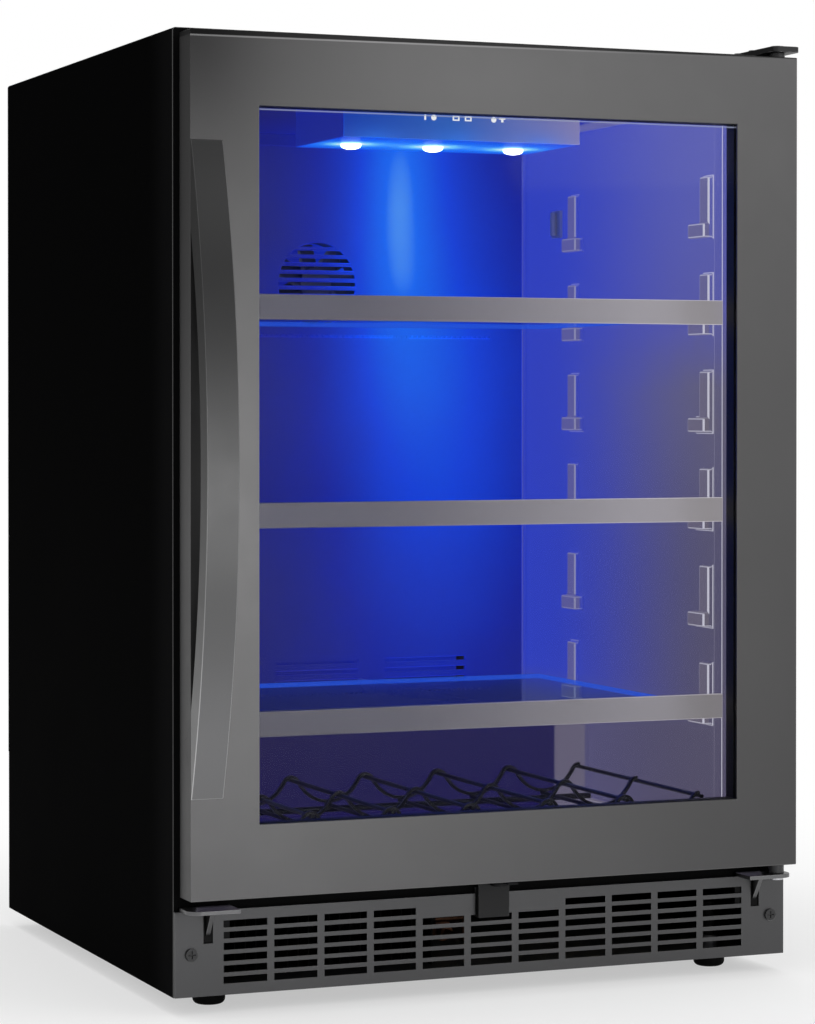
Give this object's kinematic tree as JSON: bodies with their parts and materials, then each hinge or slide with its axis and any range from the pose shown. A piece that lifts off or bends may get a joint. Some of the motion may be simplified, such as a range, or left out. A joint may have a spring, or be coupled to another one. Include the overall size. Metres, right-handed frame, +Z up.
{
  "type": "mini fridge",
  "caption": "Under-counter drinks fridge: steel cabinet on levelling feet, hinged glass door with a bowed bar handle, pull-out glass shelves, bottle rack, kick grille and compressor space.",
  "frame": {"origin": "on the floor under the centre of the whole object's bounding box, door closed and feet screwed in", "axes": "+X to the right as seen from the front, +Y to the back, +Z up"},
  "size_m": [0.595, 0.6116, 0.8564],
  "materials": {
    "cabinet_paint": "satin",
    "back_paint": "satin",
    "galvanised": "satin",
    "rail_paint": "satin",
    "foam": "matte",
    "liner_plastic": "satin",
    "dark_steel_grille": "satin",
    "black_screws": "satin",
    "bracket_steel": "satin",
    "black_bracket": "satin",
    "pin_steel": "satin",
    "strike_steel": "satin",
    "compressor_paint": "gloss",
    "black_rubber": "matte",
    "black_plastic": "matte",
    "rotor_plastic": "satin",
    "fin_aluminium": "satin",
    "condenser_paint": "satin",
    "copper": "satin",
    "white_plastic": "matte",
    "cover_plastic": "satin",
    "housing_plastic": "satin",
    "gloss_black": "gloss",
    "board_green": "satin",
    "lamp_plastic": "gloss",
    "dark_steel": "satin",
    "door_liner_plastic": "satin",
    "clear_glass": "gloss",
    "spacer_black": "matte",
    "gasket_rubber": "matte",
    "handle_steel": "satin",
    "bush_plastic": "satin",
    "barrel_chrome": "satin",
    "cam_steel": "satin",
    "shelf_glass": "gloss",
    "trim_steel": "satin",
    "rack_wire": "satin",
    "foot_steel": "matte"
  },
  "bodies": {
    "cabinet": {"cabinet_wrap": "cabinet_paint", "back_panel": "back_paint", "base_pan": "galvanised", "front_rail": "rail_paint", "insulation": "foam", "inner_liner": "liner_plastic", "kick_grille": "dark_steel_grille", "panel_screws": "black_screws", "lower_hinge_bracket": "bracket_steel", "spare_hinge_bracket": "bracket_steel", "upper_hinge_bracket": "black_bracket", "hinge_pins": "pin_steel", "hinge_screws": "black_screws", "lock_strike": "strike_steel", "compressor": "compressor_paint", "compressor_grommets": "black_rubber", "relay_box": "black_plastic", "condenser": "condenser_paint", "condenser_fan_frame": "black_plastic", "drip_tray": "black_plastic", "filter_drier": "copper", "capillary_tube": "copper", "discharge_tube": "copper", "suction_tube": "copper", "power_board_box": "white_plastic", "power_gland": "black_plastic", "machine_cover": "back_paint", "evaporator": "fin_aluminium", "evaporator_cover": "cover_plastic", "evaporator_fan_frame": "black_plastic", "temperature_sensor": "white_plastic", "control_housing": "housing_plastic", "control_fascia": "gloss_black", "control_board": "board_green", "lamp_lenses": "lamp_plastic"},
    "door": {"door_frame": "dark_steel", "door_inner_frame": "door_liner_plastic", "door_foam": "foam", "outer_glass": "clear_glass", "inner_glass": "clear_glass", "glass_spacer": "spacer_black", "door_gasket": "gasket_rubber", "handle_bar": "handle_steel", "handle_screws": "pin_steel", "hinge_bushes": "bush_plastic"},
    "lock": {"lock_barrel": "barrel_chrome", "lock_cam": "cam_steel"},
    "condenser_fan": {"condenser_fan_rotor": "rotor_plastic"},
    "evaporator_fan": {"evaporator_fan_rotor": "rotor_plastic"},
    "top_shelf": {"top_shelf_glass": "shelf_glass", "top_shelf_trim": "trim_steel"},
    "middle_shelf": {"middle_shelf_glass": "shelf_glass", "middle_shelf_trim": "trim_steel"},
    "bottom_shelf": {"bottom_shelf_glass": "shelf_glass", "bottom_shelf_trim": "trim_steel"},
    "rack": {"bottle_rack": "rack_wire"},
    "front_left_leg": {"front_left_foot": "foot_steel"},
    "front_right_leg": {"front_right_foot": "foot_steel"},
    "rear_left_leg": {"rear_left_foot": "foot_steel"},
    "rear_right_leg": {"rear_right_foot": "foot_steel"}
  },
  "joints": [
    {"name": "door_hinge", "type": "hinge", "parent": "cabinet", "child": "door", "pos_m": [0.281, -0.2462, 0.474], "axis": [0, 0, 1], "range_deg": [0, 115]},
    {"name": "top_shelf_slide", "type": "slide", "parent": "cabinet", "child": "top_shelf", "axis": [0, -1, 0], "range_m": [0, 0.28]},
    {"name": "middle_shelf_slide", "type": "slide", "parent": "cabinet", "child": "middle_shelf", "axis": [0, -1, 0], "range_m": [0, 0.28]},
    {"name": "bottom_shelf_slide", "type": "slide", "parent": "cabinet", "child": "bottom_shelf", "axis": [0, -1, 0], "range_m": [0, 0.28]},
    {"name": "rack_slide", "type": "slide", "parent": "cabinet", "child": "rack", "axis": [0, -1, 0], "range_m": [0, 0.25]},
    {"name": "lock_turn", "type": "hinge", "parent": "door", "child": "lock", "pos_m": [0, -0.2472, 0.108], "axis": [0, 0, 1], "range_deg": [0, 90]},
    {"name": "condenser_fan_spin", "type": "hinge", "parent": "cabinet", "child": "condenser_fan", "pos_m": [-0.12, 0.1428, 0.084], "axis": [0, 1, 0], "continuous": true},
    {"name": "evaporator_fan_spin", "type": "hinge", "parent": "cabinet", "child": "evaporator_fan", "pos_m": [0, 0.2208, 0.65], "axis": [0, 1, 0], "continuous": true},
    {"name": "front_left_leg_screw", "type": "slide", "parent": "cabinet", "child": "front_left_leg", "axis": [0, 0, -1], "range_m": [0, 0.02]},
    {"name": "front_right_leg_screw", "type": "slide", "parent": "cabinet", "child": "front_right_leg", "axis": [0, 0, -1], "range_m": [0, 0.02]},
    {"name": "rear_left_leg_screw", "type": "slide", "parent": "cabinet", "child": "rear_left_leg", "axis": [0, 0, -1], "range_m": [0, 0.02]},
    {"name": "rear_right_leg_screw", "type": "slide", "parent": "cabinet", "child": "rear_right_leg", "axis": [0, 0, -1], "range_m": [0, 0.02]}
  ],
  "couplings": [
    {"joint": "top_shelf_slide", "follows": "door_hinge", "m_per_rad": 0.06},
    {"joint": "middle_shelf_slide", "follows": "door_hinge", "m_per_rad": 0.06},
    {"joint": "bottom_shelf_slide", "follows": "door_hinge", "m_per_rad": 0.06},
    {"joint": "rack_slide", "follows": "door_hinge", "m_per_rad": 0.06}
  ]
}
